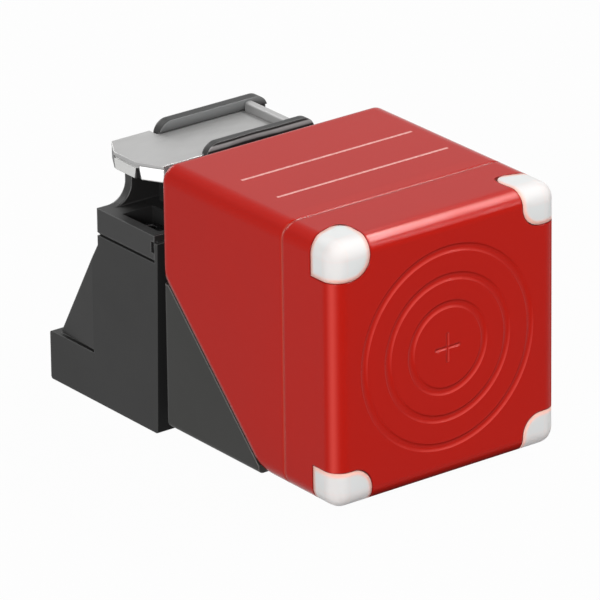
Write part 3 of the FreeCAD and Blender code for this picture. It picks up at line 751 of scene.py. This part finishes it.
# Circuit boards
# Glass-epoxy boards under a green solder mask, with copper tracks showing through as paler lines
# and a fine weave in the laminate. One carries the oscillator, the other joins the plug's pins.
mask_green = (0.010, 0.085, 0.032, 1)
thin_green = (0.014, 0.105, 0.040, 1)
track_green = (0.030, 0.170, 0.070, 1)
board_turn = (math.pi / 2, 0, 0)
track_strength = 0.4
track_height = 0.03 * mm
board_mask, tree, shader = new_finish("board_mask")
laid = add_node(tree, "ShaderNodeTexCoord")
swing = add_node(tree, "ShaderNodeMapping")
swing.inputs["Rotation"].default_value = board_turn
tree.links.new(laid.outputs["Object"], swing.inputs["Vector"])
tracks = add_node(tree, "ShaderNodeTexBrick", offset=0.5)
tracks.inputs["Scale"].default_value = 320.0
tracks.inputs["Mortar Size"].default_value = 0.07
tracks.inputs["Mortar Smooth"].default_value = 0.2
tree.links.new(swing.outputs["Vector"], tracks.inputs["Vector"])
weave = place_group(tree, moulded_grain, Fine=1800.0, Cloud=260.0)
lacquer = tint(tree, weave["Cloud"], mask_green, thin_green)
feed(tree, shader.inputs["Base Color"], tint(tree, tracks.outputs["Fac"], lacquer, track_green))
feed(tree, shader.inputs["Roughness"], spread(tree, weave["Height"], *noise_span, 0.26, 0.38))
relief(tree, shader, tracks.outputs["Fac"], track_strength, track_height)
dress(board_mask, "oscillator_board", "terminal_board")


# Chips, lamps and cable socket
# Parts soldered on the oscillator board: black epoxy chips, small lamps cast in clear resin over
# a yellow phosphor, and a cream socket that takes the cable.
chip_epoxy = moulded_plastic(
    "chip_epoxy", dark=(0.014, 0.014, 0.016, 1), worn=(0.024, 0.024, 0.026, 1), edge=(0.06, 0.06, 0.06, 1),
    rough=0.6, fine=5200.0, radius=0.1 * mm,
)
dress(chip_epoxy, "board_chips")
lamp_resin = moulded_plastic(
    "lamp_resin", dark=(0.80, 0.66, 0.24, 1), worn=(0.90, 0.80, 0.46, 1), edge=(0.92, 0.88, 0.72, 1),
    rough=0.2, fine=4000.0, radius=0.2 * mm, gloss=0.5,
)
dress(lamp_resin, "indicator_lamps")
cream_nylon = moulded_plastic(
    "cream_nylon", dark=(0.62, 0.57, 0.46, 1), worn=(0.70, 0.66, 0.56, 1), edge=(0.80, 0.77, 0.70, 1),
    rough=0.5, radius=0.2 * mm,
)
dress(cream_nylon, "cable_socket")


# Coil, bobbin, core and holder
# An enamelled copper winding lies on a cream spool in a sintered ferrite pot, and a cream cup
# centres them behind the sensing face. The pot is dark, matt and finely pitted.
dress(cream_nylon, "coil_bobbin", "core_holder")
pressed_ferrite = moulded_plastic(
    "pressed_ferrite", dark=(0.020, 0.020, 0.022, 1), worn=(0.045, 0.045, 0.048, 1),
    edge=(0.09, 0.09, 0.09, 1), rough=0.7, fine=4200.0, grain=0.06 * mm, radius=0.3 * mm,
)
dress(pressed_ferrite, "ferrite_core")

copper_dark = (0.40, 0.13, 0.045, 1)
copper_bright = (0.60, 0.22, 0.085, 1)
between_turns = (0.14, 0.045, 0.018, 1)
wire_strength = 0.7
wire_height = 0.1 * mm
copper_winding, tree, shader = new_finish("copper_winding")
wound = add_node(tree, "ShaderNodeTexCoord")
wires = add_node(tree, "ShaderNodeTexWave", wave_type="BANDS", bands_direction="Y")
wires.inputs["Scale"].default_value = 640.0
wires.inputs["Distortion"].default_value = 0.4
tree.links.new(wound.outputs["Object"], wires.inputs["Vector"])
enamel = place_group(tree, moulded_grain, Fine=900.0, Cloud=180.0)
varnish = tint(tree, enamel["Cloud"], copper_dark, copper_bright)
feed(tree, shader.inputs["Base Color"], tint(tree, wires.outputs["Fac"], between_turns, varnish))
feed(tree, shader.inputs["Roughness"], spread(tree, enamel["Height"], *noise_span, 0.22, 0.36))
shader.inputs["Metallic"].default_value = 0.85
relief(tree, shader, wires.outputs["Fac"], wire_strength, wire_height)
dress(copper_winding, "sensing_coil")


# Seals and cable
# A nitrile ring seals the seam round the spindle, another in the neck holds the sensor at its
# angle, and a rubber-sheathed cable runs through the spindle to the terminal board.
nitrile = moulded_plastic(
    "nitrile", dark=(0.010, 0.010, 0.010, 1), worn=(0.018, 0.018, 0.018, 1), edge=(0.03, 0.03, 0.03, 1),
    rough=0.62, fine=2200.0, gloss=0.25,
)
dress(nitrile, "swivel_seal", "neck_grip_ring", "link_cable")


# Thrust washer and circlip
# A zinc-plated steel washer takes the head's thrust, and an oil-blackened spring-steel circlip in
# the spindle's groove keeps the head on.
zinc_plate = plain_metal(
    "zinc_plate", dark=(0.42, 0.42, 0.43, 1), bright=(0.58, 0.58, 0.59, 1), edge=(0.75, 0.75, 0.75, 1),
    smooth=0.25, rough=0.42,
)
dress(zinc_plate, "thrust_washer")
dress(black_oxide, "spindle_circlip")


# Turning head
# The red polyester shell that turns on the wedge's spindle. It has a satin moulded surface, and
# two thin white rules are printed across its top.
red_deep = (0.362, 0.0042, 0.0005, 1)
red_worn = (0.381, 0.0058, 0.0010, 1)
red_edge_highlight = (0.37, 0.070, 0.052, 1)
red_fine = 3000.0
red_grain = 0.006 * mm
red_rough = 0.165
red_gloss = 0.105
shell_round = 0.9 * mm
top_facing = 0.9
top_seam = -20 * mm
rule_white = (0.74, 0.37, 0.34, 1)
rule_places = (-5.85 * mm, -14.15 * mm)
rule_half_width = 0.24 * mm
rule_half_length = 15.2 * mm
rule_middle = 0.8 * mm
ink_span = (0.3, 0.6)
ink_cover = (0.55, 0.95)


def moulded_red(name, edge, radius):
    """The head's red plastic."""
    return moulded_plastic(
        name, red_deep, red_worn, edge, red_rough, fine=red_fine, grain=red_grain, radius=radius,
        gloss=red_gloss,
    )


# The shell's edges, the seam most of all, are painted paler as a highlight.
printed_red = moulded_red("printed_red", red_edge_highlight, shell_round)
tree, shader, plain_red, _ = open_finish(printed_red)
place, facing = place_and_facing(tree)
on_top = reckon(tree, "GREATER_THAN", facing["Z"], top_facing)
rules = [reckon(tree, "COMPARE", place["Y"], rule_place, rule_half_width) for rule_place in rule_places]
speckle = place_group(tree, moulded_grain, Fine=1500.0, Cloud=900.0)
inked = overlap(
    tree,
    strongest(tree, *rules),
    reckon(tree, "COMPARE", place["X"], rule_middle, rule_half_length),
    on_top,
    spread(tree, speckle["Height"], *ink_span, *ink_cover),
)
# The top by the seam keeps the plain red, so the painted seam highlight stays off it.
at_seam = overlap(tree, on_top, reckon(tree, "LESS_THAN", place["Y"], top_seam))
quiet_red = tint(tree, at_seam, plain_red, red_worn)
feed(tree, shader.inputs["Base Color"], tint(tree, inked, quiet_red, rule_white))
dress(printed_red, "head_shell")


# Sensing cap
# The front of the head, moulded in the same red polyester and pressed on the shell. Its face has
# three target rings and a small cross, and its four corners are cut away for the lenses. Its
# rounded front edges and the upward walls of the rings carry a painted paler highlight, its lower
# front edge is painted dark as shade, its edges and the downward ring walls are painted a darker
# shaded red, and it is matt below, on the right and on the downward ring walls.
painted_highlight_red = (0.50, 0.040, 0.031, 1)
underside_shade_red = (0.13, 0.003, 0.001, 1)
painted_shade_red = (0.19, 0.006, 0.004, 1)
cap_round = 0.4 * mm
cap_matt = 0.95
highlight_gain, highlight_narrowing = 2.6, 5.0
ring_height = neck_centre.z
ring_zone = 17 * mm
ring_slant_up, ring_slant_right = 0.9, 0.45
ring_low, ring_high = 0.10, 0.38
ring_shade_strength = 0.2
fillet_span = (0.1, 0.4)
dark_span = (-0.2, -0.8)
down_span = (-0.1, -0.4)
right_span = (0.2, 0.7)
# The cap's edges are painted a darker red as shade.
cap_red = moulded_red("cap_red", painted_shade_red, cap_round)
tree, shader, plain_red, plain_rough = open_finish(cap_red)
place, facing = place_and_facing(tree)
ahead = reckon(tree, "MULTIPLY", facing["Y"], -1.0, clamp=True)
aside = reckon(tree, "SUBTRACT", 1.0, reckon(tree, "MULTIPLY", ahead, ahead), clamp=True)
turning = reckon(tree, "MULTIPLY", overlap(tree, ahead, aside), highlight_gain, clamp=True)
on_fillet = spread(tree, ahead, *fillet_span)
under = overlap(tree, spread(tree, facing["Z"], *dark_span), on_fillet)
turned_down = overlap(tree, spread(tree, facing["Z"], *down_span), on_fillet)
turned_right = overlap(tree, spread(tree, facing["X"], *right_span), on_fillet)

above = reckon(tree, "SUBTRACT", place["Z"], ring_height)
reach_squared = reckon(tree, "MULTIPLY_ADD", place["X"], place["X"], reckon(tree, "MULTIPLY", above, above))
in_rings = reckon(tree, "LESS_THAN", reach_squared, ring_zone**2)
upward = reckon(
    tree, "SUBTRACT",
    reckon(tree, "MULTIPLY", facing["Z"], ring_slant_up),
    reckon(tree, "MULTIPLY", facing["X"], ring_slant_right),
)
# Painted highlight on the up-facing ring walls and painted shade on the down-facing ones.
ring_highlight = overlap(tree, spread(tree, upward, ring_low, ring_high), in_rings)
ring_shaded_walls = overlap(tree, spread(tree, upward, -ring_low, -ring_high), in_rings)

highlight_kept = reckon(tree, "SUBTRACT", 1.0, strongest(tree, under, turned_right))
# Painted highlight on the front fillets, kept off the painted underside shade and the right side.
painted_highlight = overlap(tree, reckon(tree, "POWER", turning, highlight_narrowing), highlight_kept)
highlighted_red = tint(tree, strongest(tree, painted_highlight, ring_highlight), plain_red, painted_highlight_red)
ring_shaded_red = tint(tree, reckon(tree, "MULTIPLY", ring_shaded_walls, ring_shade_strength), highlighted_red, painted_shade_red)
# Painted shade along the lower front edge.
feed(tree, shader.inputs["Base Color"], tint(tree, under, ring_shaded_red, underside_shade_red))
dull_where(tree, shader, plain_rough, strongest(tree, turned_down, turned_right, ring_shaded_walls), cap_matt)
dress(cap_red, "sensing_cap")


# Corner lenses
# Four milky polycarbonate lenses, each with a light guide back to its lamp. They snap into the
# cap's corners, flush with it, and their borders are painted a pale red as a painted glow of the
# red light that shows through. Each is cut from the head's own rounded block, so that it follows
# its edges.
head_side = 40 * mm
head_low = Vector((-20 * mm, -34.25 * mm, 2 * mm))
head_round = 2.5 * mm
head_round_steps = 10
lens_gap = 0.1 * mm
lens_front = Vector((13.5 * mm, -34.25 * mm, 0))
lens_inner = Vector((12.9 * mm, -26.65 * mm, 0))
lens_side = Vector((20.0 * mm, -29.0 * mm, 0))
lens_bottom = Vector((0, 0, 36.25 * mm))
lens_round = 3.2 * mm
lens_corner = 2.2 * mm
lens_round_steps = 8
lens_rim = 1.1 * mm
lens_edge = 0.15 * mm
guide_place = (15 * mm, 37 * mm)
guide_radius = 1.5 * mm
guide_sides = 24
guide_start = head_low.y + 2.5 * mm
guide_end = -21.95 * mm
same_way = 0.999
milk_thin = (0.60, 0.615, 0.615, 1)
milk_thick = (0.64, 0.645, 0.64, 1)
painted_red_glow = (0.90, 0.48, 0.40, 1)

milky, tree, shader = new_finish("milky_polycarbonate")
haze = place_group(tree, moulded_grain, Fine=1200.0, Cloud=110.0)
edges = place_group(tree, soft_edges, Radius=lens_rim, Gain=80.0)
clouded = tint(tree, haze["Cloud"], milk_thin, milk_thick)
# Painted glow: a pale red on the borders for the light through the red cap.
feed(tree, shader.inputs["Base Color"], tint(tree, edges["Edge"], clouded, painted_red_glow))
feed(tree, shader.inputs["Roughness"], spread(tree, haze["Cloud"], *noise_span, 0.42, 0.52))
feed(tree, shader.inputs["Normal"], edges["Normal"])
shader.inputs["Specular IOR Level"].default_value = 0.15
shader.inputs["Subsurface Weight"].default_value = 0.5
shader.inputs["Subsurface Radius"].default_value = (1.0, 0.85, 0.8)
shader.inputs["Subsurface Scale"].default_value = 2 * mm


def cut_away(bm, point, outward):
    """Cuts off what lies beyond a plane and closes the cut."""
    everything = bm.verts[:] + bm.edges[:] + bm.faces[:]
    cut = bmesh.ops.bisect_plane(bm, geom=everything, plane_co=point, plane_no=outward, clear_outer=True)
    bmesh.ops.edgeloop_fill(bm, edges=of_kind(bmesh.types.BMEdge, cut["geom_cut"]))


def edges_between(bm, first, second):
    """The edges where faces that look the two given ways meet."""
    bm.normal_update()
    found = []
    for edge in bm.edges:
        ways = [face.normal for face in edge.link_faces]
        if len(ways) == 2 and any(
            one.dot(first) > same_way and other.dot(second) > same_way for one, other in (ways, ways[::-1])
        ):
            found.append(edge)
    return found


along_inner = (lens_inner - lens_front).normalized()
along_back = (lens_side - lens_inner).normalized()
inner_way = Vector((-along_inner.y, along_inner.x, 0))
back_way = Vector((-along_back.y, along_back.x, 0))
down = -up
guide_middle = Matrix.Translation((guide_place[0], (guide_start + guide_end) / 2, guide_place[1]))
to_face = Matrix.Translation(neck_centre)
for name, side, level in (
    ("upper_right", 1, 1), ("upper_left", -1, 1), ("lower_right", 1, -1), ("lower_left", -1, -1),
):
    bm = bmesh.new()
    box_between(bm, head_low, head_low + Vector((1, 1, 1)) * head_side)
    front = [edge for edge in bm.edges if min(vert.co.y for vert in edge.verts) < head_low.y + mm]
    round_edges(bm, front, head_round, head_round_steps)
    cut_away(bm, lens_front - inner_way * lens_gap, inner_way)
    cut_away(bm, lens_bottom - down * lens_gap, down)
    cut_away(bm, lens_inner - back_way * lens_gap, back_way)
    round_edges(bm, edges_between(bm, inner_way, down), lens_round, lens_round_steps)
    round_edges(bm, edges_between(bm, inner_way, back_way), lens_corner, lens_round_steps)
    bmesh.ops.create_cone(
        bm, cap_ends=True, segments=guide_sides, radius1=guide_radius, radius2=guide_radius,
        depth=guide_end - guide_start, matrix=guide_middle @ Matrix.Rotation(math.pi / 2, 4, "X"),
    )
    to_corner = to_face @ Matrix.Diagonal((side, 1, level, 1)) @ to_face.inverted()
    bmesh.ops.transform(bm, matrix=to_corner, verts=bm.verts[:])
    make_piece("corner_lens_" + name, bm, "head", milky, "lens_" + name, rounded=lens_edge)


# Studio floor
# A plain pale floor under the foot, which runs on behind as the background. It keeps a faint
# shadow, and shows white to the camera, in reflections and through clear parts.
floor_half = 3
floor_grey = (0.28, 0.28, 0.28, 1)
floor_white = 0.975


def seen_directly(tree):
    """Whether a surface is seen by the camera, in a reflection or through something clear."""
    ray = add_node(tree, "ShaderNodeLightPath").outputs
    return strongest(tree, ray["Is Camera Ray"], ray["Is Glossy Ray"], ray["Is Transmission Ray"])


bm = bmesh.new()
bmesh.ops.create_grid(bm, x_segments=1, y_segments=1, size=floor_half)
floor_mesh = bpy.data.meshes.new("floor")
bm.to_mesh(floor_mesh)
bm.free()
floor = bpy.data.objects.new("floor", floor_mesh)
bpy.context.scene.collection.objects.link(floor)
pale_floor, tree, shader = new_finish("pale_floor")
shader.inputs["Base Color"].default_value = floor_grey
shader.inputs["Roughness"].default_value = 0.9
shader.inputs["Specular IOR Level"].default_value = 0.0
glow = add_node(tree, "ShaderNodeEmission")
glow.inputs["Strength"].default_value = 1.0
shown = add_node(tree, "ShaderNodeMixShader")
feed(tree, shown.inputs[0], reckon(tree, "MULTIPLY", seen_directly(tree), floor_white))
tree.links.new(shader.outputs[0], shown.inputs[1])
tree.links.new(glow.outputs[0], shown.inputs[2])
tree.links.new(shown.outputs[0], tree.nodes["Material Output"].inputs["Surface"])
floor_mesh.materials.append(pale_floor)


# Studio light
# A dim even room with five lamps: a square soft box at the left, a long strip overhead that draws
# the light line on the top front edge, a weak one behind it, a narrow upright strip at the front
# right for the rings, and a fill from behind.
room_white = (1, 1, 1, 1)
room_light = 0.14
aim_point = Vector((0, 0, 20 * mm))
room = bpy.data.worlds.new("white_room")
bpy.context.scene.world = room
room.use_nodes = True
tree = room.node_tree
walls = tree.nodes["Background"]
walls.inputs["Color"].default_value = room_white
feed(tree, walls.inputs["Strength"], spread(tree, seen_directly(tree), 0.0, 1.0, room_light))
for name, way, reach, width, height, twist, power in (
    ("left_box", (-0.75, -0.56, 0.33), 1.0, 0.30, 0.30, 0.0, 10.4),
    ("top_strip", (0.552, -0.251, 0.796), 0.923, 0.80, 0.075, 28.9, 7.2),
    ("back_strip", (0.554, 0.335, 0.763), 0.903, 0.65, 0.08, -40.1, 0.33),
    ("ring_strip", (0.556, -0.74, 0.38), 1.0, 0.06, 0.46, 0.0, 1.5),
    ("rear_fill", (0.0, 0.93, 0.36), 1.0, 0.50, 0.30, 0.0, 3.2),
):
    lamp = bpy.data.objects.new(name, bpy.data.lights.new(name, "AREA"))
    lamp.data.shape = "RECTANGLE"
    lamp.data.energy = power
    lamp.data.size = width
    lamp.data.size_y = height
    lamp.location = aim_point + Vector(way).normalized() * reach
    towards = (aim_point - lamp.location).to_track_quat("-Z", "Y")
    lamp.rotation_euler = (towards @ Quaternion((0, 0, 1), math.radians(twist))).to_euler()
    bpy.context.scene.collection.objects.link(lamp)


# Camera
# A long lens from the front left and a little above, level to within a degree. It stands about a
# metre off and aims a little to the left of the head, so that the bracket is in the frame too.
azimuth = math.radians(-36.997)
elevation = math.radians(22.454)
roll = math.radians(-0.732)
head_middle = Vector((0, -14.25 * mm, 22 * mm))
aim_across, aim_up = -8.563 * mm, 0.705 * mm
distance = 993.18 * mm
focal_length = 419.83
sensor_width = 36
camera = bpy.data.objects.new("camera", bpy.data.cameras.new("camera"))
bpy.context.scene.collection.objects.link(camera)
level = Vector((math.cos(azimuth), math.sin(azimuth), 0))
forward = Vector((math.sin(azimuth), -math.cos(azimuth), 0))
outward = forward * math.cos(elevation) + up * math.sin(elevation)
overhead = outward.cross(level)
across = level * math.cos(roll) + overhead * math.sin(roll)
upright = overhead * math.cos(roll) - level * math.sin(roll)
eye = head_middle + across * aim_across + upright * aim_up + outward * distance
camera.matrix_world = Matrix((
    (across.x, upright.x, outward.x, eye.x),
    (across.y, upright.y, outward.y, eye.y),
    (across.z, upright.z, outward.z, eye.z),
    (0, 0, 0, 1),
))
camera.data.lens = focal_length
camera.data.sensor_width = sensor_width
bpy.context.scene.camera = camera
bpy.context.scene.view_settings.view_transform = "Standard"
